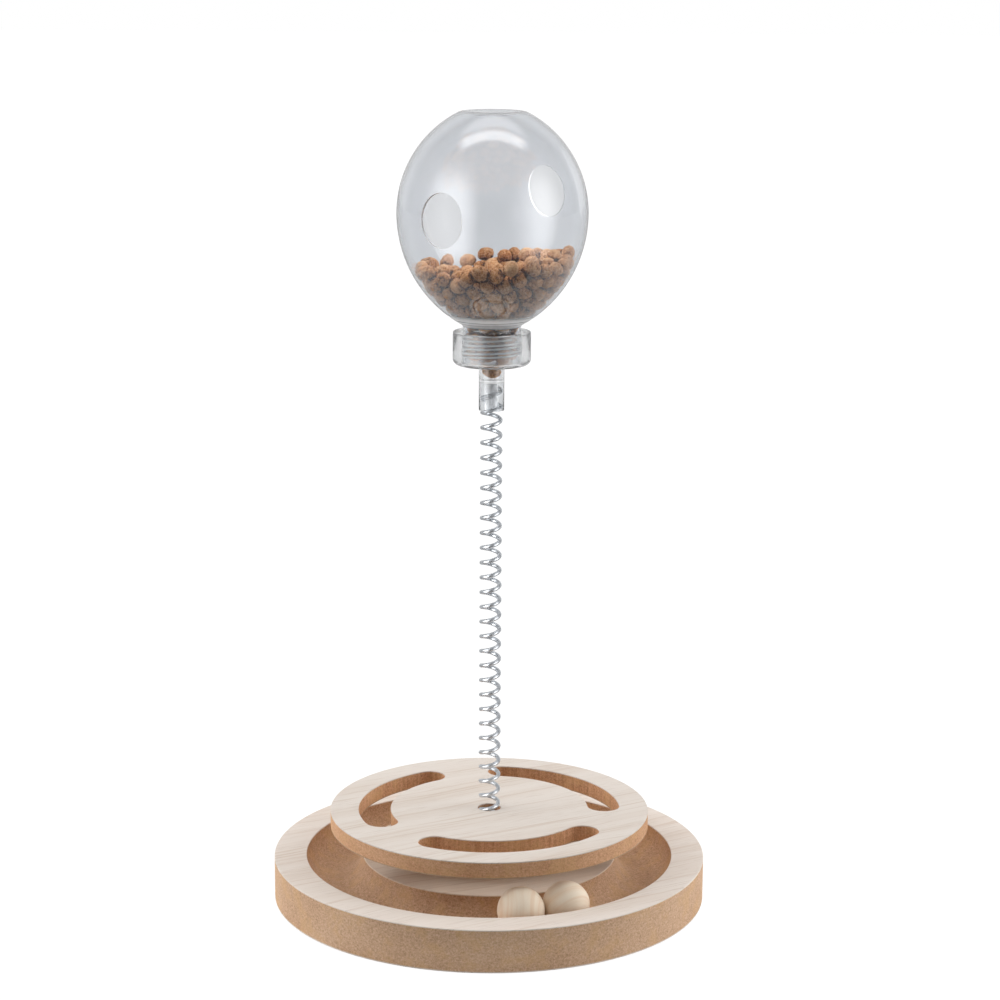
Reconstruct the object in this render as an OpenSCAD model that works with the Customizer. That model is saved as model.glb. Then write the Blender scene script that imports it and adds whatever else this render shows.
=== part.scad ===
// Cat puzzle feeder: a clear globe of kibble sways on a long spring above a round
// board, where loose balls run in a groove under a slotted disc.
// Millimetres, +Z up, origin at the middle of the underside, front of the feeder towards -Y.

/* [Base board] */
// Diameter of the base
base_d = 236; // [212:1:264]
// Thickness of the base's fibreboard core
base_core_t = 22; // [20:0.5:30]
// Thickness of the wood veneer on every flat face
veneer_t = 0.6; // [0.4:0.1:1]
// Distance from the base's edge to the lowest line of the ball groove
track_in = 33; // [28:0.5:38]
// Section radius of the round-bottomed groove
groove_r = 15.4; // [14:0.1:17]

/* [Balls] */
// Diameter of each wooden ball
ball_d = 25; // [20:0.5:27]
// Running clearance under a ball and between two balls that meet
ball_gap = 0.3; // [0.2:0.05:1]
// Place of the first ball on the track, in degrees from the front towards the right
ball_1_angle = 11.6; // [-20:0.1:20]

/* [Spacer] */
// Diameter of the round spacer that carries the top disc
spacer_d = 70; // [62:1:84]
// Height of the spacer, the room for a paw between base and disc
spacer_h = 16; // [14:0.5:30]

/* [Top disc] */
// Distance from the base's edge to the top disc's edge
disc_in = 30.8; // [24:0.2:38]
// Thickness of the top disc's fibreboard core
disc_core_t = 7.8; // [6:0.1:15]
// Number of curved paw slots
slot_count = 3; // [2:1:3]
// Distance from the top disc's edge to the middle line of the slots
slot_in = 24.2; // [20:0.2:28]
// Width of a slot
slot_w = 17.6; // [14:0.2:22]
// Angle between the centres of a slot's two round ends
slot_span = 80; // [50:1:92]
// Middle of the first slot, in degrees from the front towards the right
slot_turn = 13; // [-60:1:60]

/* [Screws] */
// Number of screws that hold base, spacer and disc together from below
screw_count = 3; // [3:1:6]
// Diameter of the circle that the screws stand on
screw_circle_d = 48; // [40:1:52]
// Shank diameter of a screw
screw_d = 4; // [3:0.1:5]
// Head diameter of a screw
screw_head_d = 8; // [7:0.1:10]
// Length that a screw reaches into the top disc's core
screw_bite = 5; // [3:0.1:5.5]
// Clearance all round a screw
screw_gap = 0.15; // [0.05:0.01:0.3]

/* [Spring] */
// Outer diameter of the coil
coil_d = 12.2; // [11:0.1:14]
// Diameter of the wire
wire_d = 2.25; // [1.8:0.05:2.6]
// Rise of the coil in one turn
coil_pitch = 8.23; // [6:0.01:11]
// Free length between the top disc and the cap's spigot
spring_free = 222.2; // [150:0.1:260]
// Direction in which the wire leaves the top disc's upper face, in degrees from +X
coil_start_angle = 242; // [0:1:359]
// Depth of the spring's seat in the spacer
seat_depth = 11; // [7:0.5:12]
// Clearance around the coil in the disc, in the spacer and around the peg
coil_gap = 0.2; // [0.1:0.05:0.4]
// Gap between a cut end of the wire and the face that stops it
wire_end_gap = 0.1; // [0.05:0.05:0.3]
// Height of the peg above the spring's seat
peg_rise = 12; // [6:0.5:16]

/* [Screw cap] */
// Outer diameter of the cap
cap_d = 41.4; // [39:0.1:46]
// Height of the cap without its spigot
cap_h = 17.5; // [15:0.1:24]
// Thickness of the cap's floor
cap_floor_t = 2; // [1.5:0.1:3]
// Round of the cap's lower edge
cap_edge_r = 3; // [1:0.1:5]
// Clearance between the globe's neck and the cap's thread wall
neck_gap = 1.1; // [0.6:0.1:1.6]
// Length of the spigot that takes the spring
spigot_h = 24.6; // [22:0.1:30]
// Wall of the spigot around the spring
spigot_wall = 0.6; // [0.5:0.05:1.2]
// Clearance between spring and spigot
spigot_gap = 0.1; // [0.1:0.05:0.3]
// Length of spring held in the spigot
spigot_grip = 15; // [10:0.5:16]
// Thickness of the plug that closes the spigot over the spring
plug_t = 1.5; // [1:0.1:2]
// Distance of the plug's pin, inside the spring, from the spigot's lower edge
pin_in = 1; // [0.5:0.1:4]

/* [Globe] */
// Largest diameter of the globe
globe_d = 100.6; // [90:0.2:112]
// Radius of the globe's side above its widest line
upper_arc_r = 59; // [56:0.5:64]
// Radius of the globe's side below its widest line
lower_arc_r = 67.2; // [62:0.2:74]
// Wall of the globe
globe_wall = 1.2; // [0.8:0.1:2]
// Diameter of the flat foot, which is on top in use
foot_d = 34; // [26:0.5:40]
// Depth of the hollow in the foot
foot_hollow = 1.5; // [0.5:0.1:2.5]
// Width of the foot's flat edge
foot_land = 3; // [2:0.1:5]
// Outer diameter of the neck
neck_d = 30.8; // [28:0.1:32]
// Wall of the neck
neck_wall = 1.6; // [1.2:0.1:2]
// Gap in sight between the globe and the cap's rim
cap_gap = 3.5; // [2:0.1:6]
// Gap between the neck's lip and the cap's floor
lip_gap = 0.3; // [0.1:0.05:0.5]
// Width of a feed hole
hole_w = 24.6; // [18:0.2:28]
// Height of a feed hole
hole_h = 28.5; // [26:0.2:32]
// Rise of the front hole's middle over the widest line
front_hole_rise = 0.4; // [-2:0.1:6]
// Rise of the rear hole's middle over the widest line
rear_hole_rise = 8.4; // [2:0.1:10]
// Direction of the front hole, in degrees from the front towards the left
hole_angle = 32; // [0:1:60]
// Turn of the rear hole from the front one
hole_apart = 186; // [150:1:210]

/* [Kibble] */
// Diameter of one kibble
kibble_d = 9.4; // [8:0.1:10.4]
// Least gap from kibble to kibble and from kibble to wall
kibble_gap = 0.5; // [0.4:0.05:0.9]
// Height of the heap over the globe's lower end, at its middle
heap_h = 36; // [20:0.5:42]
// Rise of the heap's surface towards the right, per millimetre
heap_slope = 0.1; // [-0.2:0.01:0.2]
// Clearance of the loose kibble in the bore above the plug
bore_gap = 0.7; // [0.4:0.05:1]

/* [Hidden] */
$fn = 96;

// Levels, from the floor up
base_r = base_d / 2;
core_z = veneer_t;
island_z = core_z + base_core_t;
base_top_z = island_z + veneer_t;
disc_z = base_top_z + spacer_h;
disc_core_z = disc_z + veneer_t;
disc_face_z = disc_core_z + disc_core_t;
disc_top_z = disc_face_z + veneer_t;
spigot_z = disc_top_z + spring_free;
stop_z = spigot_z + spigot_grip;
cap_z = spigot_z + spigot_h;
cap_floor_z = cap_z + cap_floor_t;
cap_top_z = cap_z + cap_h;
bowl_z = cap_top_z + cap_gap;

// Groove and balls
track_r = base_r - track_in;
ball_r = ball_d / 2;
ball_z = base_top_z - groove_r + ball_r + ball_gap;
ball_step = 2 * asin((ball_r + ball_gap / 2) / track_r);

// Screws, from the underside into the top disc
screw_len = disc_core_z + screw_bite;
screw_head_t = (screw_head_d - screw_d) / 2;
screw_tip_t = screw_d / 2;
screw_tip_r = screw_d / 8;

// Disc and slots: the cutter sweeps a little wider where it plunges in at each end
disc_r = base_r - disc_in;
slot_r = disc_r - slot_in;
slot_end_over = 0.1;
slot_end_r = slot_w / 2 + slot_end_over;

// Spring, its seat and its peg, which clears the straight stretches that the wire is drawn in
rings_per_turn = 8;
wire_sides = 6;
coil_r = (coil_d - wire_d) / 2;
wire_r = wire_d / 2;
seat_r = coil_d / 2 + coil_gap;
seat_z = disc_z - seat_depth;
spring_low_z = seat_z + wire_end_gap;
spring_high_z = stop_z - wire_end_gap;
peg_r = (coil_r - wire_r) * cos(180 / rings_per_turn) - coil_gap;
peg_socket_gap = coil_gap / 2;

// Cap
cap_r = cap_d / 2;
neck_r = neck_d / 2;
thread_wall_r = neck_r + neck_gap;
spring_bore_r = coil_d / 2 + spigot_gap;
spigot_r = spring_bore_r + spigot_wall;
kibble_r = kibble_d / 2;
kibble_bore_r = kibble_r + bore_gap;

// Globe: its side is two arcs that meet at the widest line
globe_r = globe_d / 2;
upper_off = upper_arc_r - globe_r;
lower_off = lower_arc_r - globe_r;
foot_r = foot_d / 2;
wide_z = bowl_z + arc_rise(lower_arc_r, lower_off, neck_r);
globe_top_z = wide_z + arc_rise(upper_arc_r, upper_off, foot_r);
foot_inside_z = globe_top_z - foot_hollow - globe_wall;
neck_inner_r = neck_r - neck_wall;
lip_z = cap_floor_z + lip_gap;
arc_steps = 18;
cut = 1;

// Kibble: close-packed layers, kept where they fit inside the globe and under the heap's surface,
// and the loose ones that have dropped into the bore above the plug
kibble_pitch = kibble_d + kibble_gap;
layer_rise = kibble_pitch * sqrt(2 / 3);
row_rise = kibble_pitch * sqrt(3) / 2;
first_layer_z = cap_floor_z + kibble_gap + kibble_r;
neck_room = neck_inner_r - kibble_r - kibble_gap;
bowl_room = lower_arc_r - globe_wall - kibble_r - kibble_gap;
heap_z = bowl_z + heap_h;
heap_cols = ceil(globe_r / kibble_pitch);
heap_layers = ceil((heap_z + globe_r * abs(heap_slope) - first_layer_z) / layer_rise);
loose_count = floor((first_layer_z - stop_z - plug_t - kibble_gap - kibble_r) / kibble_pitch);
kibble_facets = 32;

veneer_colour = [0.86, 0.81, 0.77];
board_colour = [0.62, 0.50, 0.41];
wood_colour = [0.78, 0.69, 0.60];
ball_colour = [0.80, 0.71, 0.62];
steel_colour = [0.72, 0.74, 0.76];
clear_colour = [0.80, 0.83, 0.86, 0.35];
frosted_colour = [0.78, 0.80, 0.82, 0.6];
kibble_colour = [0.56, 0.38, 0.25];

// Height between an arc's widest point and the point where it has narrowed to radius r
function arc_rise(arc_r, off, r) = sqrt(arc_r * arc_r - (r + off) * (r + off));

// Points of such an arc from height z_from to height z_to, measured from its widest line
function arc_points(arc_r, off, z_from, z_to) =
    let (a0 = asin(z_from / arc_r), a1 = asin(z_to / arc_r))
    [for (i = [0:arc_steps]) let (a = a0 + (a1 - a0) * i / arc_steps)
        [arc_r * cos(a) - off, wide_z + arc_r * sin(a)]];

// A place on a circle, in degrees from the front towards the right
function from_front(r, angle, z = 0) = [r * sin(angle), -r * cos(angle), z];

// Base

module screw_holes(z, h) {
    for (i = [0:screw_count - 1])
        rotate(360 * i / screw_count)
            translate([screw_circle_d / 2, 0, z])
                cylinder(r = screw_d / 2 + screw_gap, h = h);
}

module screw_sinks() {
    for (i = [0:screw_count - 1])
        rotate(360 * i / screw_count)
            translate([screw_circle_d / 2, 0, 0]) {
                cylinder(r1 = screw_head_d / 2 + screw_gap, r2 = screw_d / 2 + screw_gap, h = screw_head_t);
                translate([0, 0, -cut])
                    cylinder(r = screw_head_d / 2 + screw_gap, h = cut);
            }
}

module groove() {
    translate([0, 0, base_top_z])
        rotate_extrude()
            translate([track_r, 0])
                circle(r = groove_r);
}

module base_board() {
    color(board_colour)
        difference() {
            translate([0, 0, core_z])
                cylinder(r = base_r, h = base_core_t);
            groove();
            screw_holes(0, base_top_z);
            screw_sinks();
        }
}

module base_backing() {
    color(veneer_colour)
        difference() {
            cylinder(r = base_r, h = veneer_t);
            screw_holes(-cut, veneer_t + 2 * cut);
            screw_sinks();
        }
}

module rim_veneer() {
    color(veneer_colour)
        translate([0, 0, island_z])
            difference() {
                cylinder(r = base_r, h = veneer_t);
                translate([0, 0, -cut])
                    cylinder(r = track_r + groove_r, h = veneer_t + 2 * cut);
            }
}

module island_veneer() {
    color(veneer_colour)
        difference() {
            translate([0, 0, island_z])
                cylinder(r = track_r - groove_r, h = veneer_t);
            screw_holes(island_z - cut, veneer_t + 2 * cut);
        }
}

module spacer() {
    color(wood_colour)
        difference() {
            translate([0, 0, base_top_z])
                cylinder(r = spacer_d / 2, h = spacer_h);
            translate([0, 0, seat_z])
                cylinder(r = seat_r, h = seat_depth + cut);
            translate([0, 0, base_top_z - cut])
                cylinder(r = peg_r + peg_socket_gap, h = spacer_h);
            screw_holes(base_top_z - cut, spacer_h + 2 * cut);
        }
}

module spring_peg() {
    color(wood_colour)
        translate([0, 0, base_top_z])
            cylinder(r = peg_r, h = seat_z - base_top_z + peg_rise);
}

// Top disc

module slot_outline() {
    half = slot_span / 2;
    reach = 2 * slot_r;
    intersection() {
        difference() {
            circle(r = slot_r + slot_w / 2);
            circle(r = slot_r - slot_w / 2);
        }
        polygon([[0, 0], for (a = [-half, 0, half]) reach * [sin(a), -cos(a)]]);
    }
    for (a = [-half, half])
        translate([slot_r * sin(a), -slot_r * cos(a)])
            circle(r = slot_end_r);
}

module disc_layer(z, t) {
    translate([0, 0, z])
        difference() {
            cylinder(r = disc_r, h = t);
            translate([0, 0, -cut])
                cylinder(r = seat_r, h = t + 2 * cut);
            for (i = [0:slot_count - 1])
                rotate(slot_turn + 360 * i / slot_count)
                    translate([0, 0, -cut])
                        linear_extrude(t + 2 * cut)
                            slot_outline();
        }
}

module top_disc() {
    color(board_colour)
        difference() {
            disc_layer(disc_core_z, disc_core_t);
            screw_holes(disc_core_z - cut, screw_bite + screw_gap + cut);
        }
}

module disc_veneer() {
    color(veneer_colour)
        disc_layer(disc_face_z, veneer_t);
}

module disc_backing() {
    color(veneer_colour)
        difference() {
            disc_layer(disc_z, veneer_t);
            screw_holes(disc_z - cut, veneer_t + 2 * cut);
        }
}

module screw() {
    cylinder(r1 = screw_head_d / 2, r2 = screw_d / 2, h = screw_head_t);
    cylinder(r = screw_d / 2, h = screw_len - screw_tip_t);
    translate([0, 0, screw_len - screw_tip_t])
        cylinder(r1 = screw_d / 2, r2 = screw_tip_r, h = screw_tip_t);
}

module screws() {
    color(steel_colour)
        for (i = [0:screw_count - 1])
            rotate(360 * i / screw_count)
                translate([screw_circle_d / 2, 0, 0])
                    screw();
}

// Spring: one round wire, wound to the right, with straight cut ends

function coil_angle(z) = coil_start_angle + 360 * (z - disc_top_z) / coil_pitch;
function coil_point(z) = [coil_r * cos(coil_angle(z)), coil_r * sin(coil_angle(z)), z];
function coil_run(z) =
    let (a = coil_angle(z), slope = coil_pitch / (2 * PI * coil_r))
    [-sin(a), cos(a), slope] / norm([1, slope]);

// One ring of points around the wire: place, direction of the wire, and stretch across a bend
function wire_ring(p, angle, run, stretch = 1) =
    let (out = [cos(angle), sin(angle), 0], side = cross(run, out))
    [for (k = [0:wire_sides - 1]) let (a = 360 * k / wire_sides)
        p + wire_r * (cos(a) * out + stretch * sin(a) * side)];

// The ring where the coil turns into its straight end
function bend_ring(z) =
    let (run = coil_run(z), bend = run + [0, 0, 1], dir = bend / norm(bend))
    wire_ring(coil_point(z), coil_angle(z), dir, 1 / (dir * run));

coil_low_z = spring_low_z + wire_d;
coil_high_z = spring_high_z - wire_d;
coil_rings = round((coil_high_z - coil_low_z) / coil_pitch * rings_per_turn);
coil_levels = [for (i = [0:coil_rings]) coil_low_z + (coil_high_z - coil_low_z) * i / coil_rings];

// Least distance between two stretches of wire that lie half a turn or more apart
coil_line = [for (z = coil_levels) coil_point(z)];
half_turn = rings_per_turn / 2 + 1;
two_turns = 2 * rings_per_turn;
wire_gap = min([for (i = [0:coil_rings - half_turn])
    for (j = [i + half_turn:min(coil_rings, i + two_turns)])
        norm(coil_line[i] - coil_line[j])]) - wire_d;

module spring() {
    up = [0, 0, 1];
    low_end = wire_ring(coil_point(coil_low_z) - wire_d * up, coil_angle(coil_low_z), up);
    high_end = wire_ring(coil_point(coil_high_z) + wire_d * up, coil_angle(coil_high_z), up);
    rings = concat(
        [low_end, bend_ring(coil_low_z)],
        [for (i = [1:coil_rings - 1])
            wire_ring(coil_line[i], coil_angle(coil_levels[i]), coil_run(coil_levels[i]))],
        [bend_ring(coil_high_z), high_end]);
    last = len(rings) - 1;
    sides = [for (i = [0:last - 1]) for (k = [0:wire_sides - 1])
        let (a = i * wire_sides + k, b = i * wire_sides + (k + 1) % wire_sides)
        each [[a, a + wire_sides, b], [b, a + wire_sides, b + wire_sides]]];
    ends = [for (k = [1:wire_sides - 2])
        each [[0, k, k + 1], [last * wire_sides, last * wire_sides + k + 1, last * wire_sides + k]]];
    echo(least_gap_between_turns = wire_gap);
    color(steel_colour)
        polyhedron(points = [for (ring = rings) each ring], faces = concat(sides, ends));
}

// Screw cap: a cup for the globe's neck, with the spring's spigot below it

module cap_outline() {
    translate([0, cap_edge_r])
        square([cap_r, cap_h - cap_edge_r]);
    square([cap_r - cap_edge_r, cap_h]);
    translate([cap_r - cap_edge_r, cap_edge_r])
        circle(r = cap_edge_r);
    translate([0, -spigot_h])
        square([spigot_r, spigot_h + cap_floor_t]);
}

module screw_cap() {
    color(frosted_colour) {
        difference() {
            translate([0, 0, cap_z])
                rotate_extrude()
                    cap_outline();
            translate([0, 0, cap_floor_z])
                cylinder(r = thread_wall_r, h = cap_h);
            translate([0, 0, spigot_z - cut])
                cylinder(r = spring_bore_r, h = spigot_grip + cut);
            translate([0, 0, stop_z + plug_t])
                cylinder(r = kibble_bore_r, h = spigot_h + cap_h);
        }
        translate([0, 0, spigot_z + pin_in])
            cylinder(r = peg_r, h = spigot_grip - pin_in + plug_t / 2);
    }
}

// Globe: a clear jar, used upside down, with two oval feed holes

module globe_outline() {
    polygon(concat(
        [[0, lip_z], [neck_r, lip_z]],
        arc_points(lower_arc_r, lower_off, bowl_z - wide_z, 0),
        arc_points(upper_arc_r, upper_off, 0, globe_top_z - wide_z),
        [[0, globe_top_z]]));
}

module globe_inside() {
    lower_r = lower_arc_r - globe_wall;
    upper_r = upper_arc_r - globe_wall;
    polygon(concat(
        [[0, lip_z - cut], [neck_inner_r, lip_z - cut]],
        arc_points(lower_r, lower_off, -arc_rise(lower_r, lower_off, neck_inner_r), 0),
        arc_points(upper_r, upper_off, 0, foot_inside_z - wide_z),
        [[0, foot_inside_z]]));
}

module feed_hole(angle, rise) {
    rotate(-angle)
        translate([0, 0, wide_z + rise])
            rotate([90, 0, 0])
                linear_extrude(globe_r + cut) {
                    straight = hole_h - hole_w;
                    square([hole_w, straight], center = true);
                    for (side = [-1, 1])
                        translate([0, side * straight / 2])
                            circle(r = hole_w / 2);
                }
}

module globe() {
    hollow_r = foot_r - foot_land;
    hollow_ball_r = (hollow_r * hollow_r + foot_hollow * foot_hollow) / (2 * foot_hollow);
    color(clear_colour)
        difference() {
            rotate_extrude()
                difference() {
                    globe_outline();
                    globe_inside();
                }
            translate([0, 0, globe_top_z - foot_hollow + hollow_ball_r])
                sphere(r = hollow_ball_r);
            feed_hole(hole_angle, front_hole_rise);
            feed_hole(hole_angle + hole_apart, rear_hole_rise);
        }
}

// Kibble: what is shown in the globe, its neck and the top of the spigot

function kibble_place(i, j, k) = [
    kibble_pitch * (i + (j % 2) / 2 + (k % 2) / 2),
    row_rise * (j + (k % 2) / 3),
    first_layer_z + layer_rise * k];
function kibble_fits(p) =
    let (r = norm([p.x, p.y]))
    (r <= neck_room || norm([r + lower_off, wide_z - p.z]) <= bowl_room)
    && p.z + kibble_r <= heap_z + heap_slope * p.x;

module kibble() {
    color(kibble_colour) {
        for (k = [0:heap_layers], j = [-heap_cols:heap_cols], i = [-heap_cols - 1:heap_cols]) {
            place = kibble_place(i, j, k);
            if (kibble_fits(place))
                translate(place)
                    sphere(r = kibble_r, $fn = kibble_facets);
        }
        for (i = [1:1:loose_count])
            translate([0, 0, first_layer_z - i * kibble_pitch])
                sphere(r = kibble_r, $fn = kibble_facets);
    }
}

// Balls

module ball(angle) {
    color(ball_colour)
        translate(from_front(track_r, angle, ball_z))
            sphere(r = ball_r);
}

module ball_1() {
    ball(ball_1_angle);
}

module ball_2() {
    ball(ball_1_angle + ball_step);
}

base_board();
base_backing();
rim_veneer();
island_veneer();
spacer();
spring_peg();
top_disc();
disc_veneer();
disc_backing();
screws();
spring();
screw_cap();
globe();
kibble();
ball_1();
ball_2();
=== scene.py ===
import math
import random

import bmesh
import bpy
import numpy as np
from mathutils import Matrix, Quaternion, Vector, noise


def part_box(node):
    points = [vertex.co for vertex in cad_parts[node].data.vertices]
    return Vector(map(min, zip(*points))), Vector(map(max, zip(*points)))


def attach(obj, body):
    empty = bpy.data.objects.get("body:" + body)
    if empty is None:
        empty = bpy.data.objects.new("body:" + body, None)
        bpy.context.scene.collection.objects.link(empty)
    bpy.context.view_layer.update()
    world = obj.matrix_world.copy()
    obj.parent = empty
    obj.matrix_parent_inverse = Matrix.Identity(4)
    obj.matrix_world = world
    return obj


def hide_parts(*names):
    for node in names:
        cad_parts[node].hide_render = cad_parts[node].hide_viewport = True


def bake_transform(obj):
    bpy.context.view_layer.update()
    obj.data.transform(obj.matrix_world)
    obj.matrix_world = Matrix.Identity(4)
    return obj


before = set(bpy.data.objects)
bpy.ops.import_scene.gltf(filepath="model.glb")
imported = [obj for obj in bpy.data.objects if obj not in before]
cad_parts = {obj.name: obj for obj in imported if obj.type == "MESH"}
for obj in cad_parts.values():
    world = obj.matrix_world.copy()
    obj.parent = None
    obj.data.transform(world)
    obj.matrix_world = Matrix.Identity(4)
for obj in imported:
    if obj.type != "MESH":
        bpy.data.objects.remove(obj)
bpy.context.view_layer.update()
mm = 0.001
scene = bpy.context.scene
scene.view_settings.view_transform = "Standard"
print("frame loaded with", len(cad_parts), "nodes")


# what the frame says about a node

def heights(node):
    low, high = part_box(node)
    return low.z, high.z


def outerRadius(node):
    low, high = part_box(node)
    return (high.x - low.x) / 2


def middle(node):
    low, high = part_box(node)
    return (low + high) / 2


# shader maths as expressions

class Link:
    def __init__(self, tree, socket=None):
        self.tree = tree
        self.socket = socket

    def node(self, kind, settings=None, inputs=None, output=0):
        made = self.tree.nodes.new("ShaderNode" + kind)
        for name, value in (settings or {}).items():
            if name == "stops":
                self.setStops(made.color_ramp.elements, value)
            else:
                setattr(made, name, value)
        for name, value in (inputs or {}).items():
            if isinstance(value, Link):
                self.tree.links.new(value.socket, made.inputs[name])
            else:
                made.inputs[name].default_value = value
        return Link(self.tree, made.outputs[output]) if made.outputs else None

    def setStops(self, elements, stops):
        for place, colour in stops[1:-1]:
            elements.new(place)
        for element, (place, colour) in zip(elements, stops):
            element.position = place
            element.color = (*colour, 1)

    def maths(self, operation, first, second):
        return self.node("Math", {"operation": operation}, {0: first, 1: second})

    def __add__(self, other):
        return self.maths("ADD", self, other)

    def __radd__(self, other):
        return self.maths("ADD", other, self)

    def __sub__(self, other):
        return self.maths("SUBTRACT", self, other)

    def __rsub__(self, other):
        return self.maths("SUBTRACT", other, self)

    def __mul__(self, other):
        return self.maths("MULTIPLY", self, other)

    def __rmul__(self, other):
        return self.maths("MULTIPLY", other, self)


def smoothStep(value, low, high):
    limits = {"Value": value, "From Min": low, "From Max": high}
    return value.node("MapRange", {"interpolation_type": "SMOOTHSTEP"}, limits)


def withAlpha(colour):
    return (*colour, 1) if isinstance(colour, tuple) else colour


def mixColour(factor, first, second):  # a Mix node has its colours on inputs 6 and 7 and output 2
    sockets = {0: factor, 6: withAlpha(first), 7: withAlpha(second)}
    return factor.node("Mix", {"data_type": "RGBA"}, sockets, 2)


def stretch(place, scale):
    return place.node("VectorMath", {"operation": "MULTIPLY"}, {0: place, 1: scale})


def nudge(place, axis, amount):
    offset = amount.node("CombineXYZ", None, {axis: amount})
    return place.node("VectorMath", {"operation": "ADD"}, {0: place, 1: offset})


def grainNoise(place, scale, detail=2.0, roughness=0.5):
    inputs = {"Vector": place, "Scale": scale, "Detail": detail, "Roughness": roughness}
    return place.node("TexNoise", None, inputs)


def streaks(place, scale, detail=2.0, roughness=0.5):  # scale is along X, Y and Z
    return grainNoise(stretch(place, scale), 1.0, detail, roughness)


def bumpFrom(height, depth):
    return height.node("Bump", None, {"Height": height, "Strength": 1.0, "Distance": depth})


def distanceFromAxis(place):
    flat = stretch(place, (1, 1, 0))
    return place.node("VectorMath", {"operation": "LENGTH"}, {0: flat}, "Value")


def emptyTree(owner):
    owner.use_nodes = True
    owner.node_tree.nodes.clear()
    return Link(owner.node_tree)


def newMaterial(name, build):
    material = bpy.data.materials.new(name)
    start = emptyTree(material)
    place = start.node("TexCoord", output="Object")
    shader = start.node("BsdfPrincipled", None, build(place))
    start.node("OutputMaterial", None, {"Surface": shader})
    return material


# finishes: an edge is where a pattern starts and where it is full, a tint is how much it colours

veneerLook = {
    "pale": (0.840, 0.760, 0.690),
    "warm": (0.680, 0.555, 0.455),
    "pore": (0.500, 0.385, 0.300),
    "driftScale": (6, 14, 6),
    "drift": 0.02,
    "bandScale": (2.5, 60, 2.5),
    "bandEdge": (0.35, 0.70),
    "bandTint": 0.35,
    "lineScale": (8, 380, 8),
    "lineEdge": (0.54, 0.66),
    "lineTint": 0.60,
    "poreScale": (70, 2400, 70),
    "poreEdge": (0.60, 0.76),
    "poreTint": 0.55,
    "grainDepth": 0.03 * mm,
    "lineShare": 0.5,
    "roughness": 0.62,
    "lineRoughness": 0.10,
    "gloss": 0.35,
}


def veneerMaterial(name, turn, shift, pale=veneerLook["pale"], warm=veneerLook["warm"]):
    look = veneerLook

    def build(place):
        turned = {"Vector": place, "Location": shift, "Rotation": (0, 0, -math.radians(turn))}
        along = place.node("Mapping", None, turned)
        drift = (streaks(along, look["driftScale"]) - 0.5) * look["drift"]
        wavy = nudge(along, "Y", drift)
        bands = smoothStep(streaks(wavy, look["bandScale"], detail=3.0), *look["bandEdge"])
        lines = smoothStep(streaks(wavy, look["lineScale"], detail=3.0, roughness=0.65), *look["lineEdge"])
        pores = smoothStep(streaks(wavy, look["poreScale"], detail=1.0), *look["poreEdge"])
        ground = mixColour(bands * look["bandTint"], pale, warm)
        lined = mixColour(lines * look["lineTint"], ground, warm)
        relief = lines * look["lineShare"] + pores
        return {
            "Base Color": mixColour(pores * look["poreTint"], lined, look["pore"]),
            "Roughness": look["roughness"] + lines * look["lineRoughness"],
            "Normal": bumpFrom(1 - relief, look["grainDepth"]),
            "Specular IOR Level": look["gloss"],
        }
    return newMaterial(name, build)


fibreLook = {
    "base": ((0.374, 0.209, 0.119), (0.650, 0.424, 0.272), (0.860, 0.645, 0.468)),
    "disc": ((0.385, 0.185, 0.090), (0.655, 0.372, 0.210), (0.850, 0.560, 0.355)),
    "golden": (0.720, 0.455, 0.215),
    "goldenScale": 85,
    "goldenEdge": (0.46, 0.64),
    "goldenTint": 0.32,
    "flourScale": 1150,
    "flourShare": 0.70,
    "chipScale": 560,
    "chipStretch": (1, 1, 1.7),
    "chipShare": 0.30,
    "markScale": 900,
    "markStretch": (1, 1, 0.04),
    "cloudScale": 30,
    "cloudShare": 0.45,
    "contrast": 2.1,
    "sandedLift": 0.10,
    "darken": 0.88,
    "roughness": 0.85,
    "cloudShine": 0.15,
    "fuzz": 0.10 * mm,
    "gloss": 0.25,
}


# routed walls lie inside the first radius, the sanded rim lies past the second
def fibreMaterial(name, tones, routedR, sandedR, chatter):
    look = fibreLook

    def build(place):
        flour = grainNoise(place, look["flourScale"], detail=3.0, roughness=0.75)
        chips = grainNoise(stretch(place, look["chipStretch"]), look["chipScale"], roughness=0.6)
        cloud = grainNoise(place, look["cloudScale"], detail=3.0)
        marks = grainNoise(stretch(place, look["markStretch"]), look["markScale"], detail=1.0) - 0.5
        sanded = smoothStep(distanceFromAxis(place), routedR, sandedR)
        speckle = flour * look["flourShare"] + chips * look["chipShare"] + (1 - sanded) * marks * chatter
        tone = speckle * look["contrast"] + cloud * look["cloudShare"] + sanded * look["sandedLift"]
        tone = tone - look["darken"]
        stops = [(0.0, tones[0]), (0.5, tones[1]), (1.0, tones[2])]
        brown = tone.node("ValToRGB", {"stops": stops}, {"Fac": tone})
        patches = grainNoise(place, look["goldenScale"], detail=3.0, roughness=0.6)
        golden = smoothStep(patches, *look["goldenEdge"]) * look["goldenTint"]
        return {
            "Base Color": mixColour(golden, brown, look["golden"]),
            "Roughness": look["roughness"] - cloud * look["cloudShine"],
            "Normal": bumpFrom(speckle, look["fuzz"]),
            "Specular IOR Level": look["gloss"],
        }
    return newMaterial(name, build)


woodLook = {
    "pale": (0.960, 0.825, 0.660),
    "late": (0.850, 0.645, 0.455),
    "driftScale": (45, 45, 12),
    "drift": 0.008,
    "ringScale": 420.0,
    "ringLength": (16, 6),
    "ringEdge": (0.42, 0.70),
    "ringTint": 0.75,
    "fibreScale": (2600, 2600, 90),
    "fibreEdge": (0.55, 0.8),
    "fibreTint": 0.35,
    "fibreDepth": 0.04 * mm,
    "roughness": 0.55,
    "fibreRoughness": 0.12,
    "gloss": 0.4,
}


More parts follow.
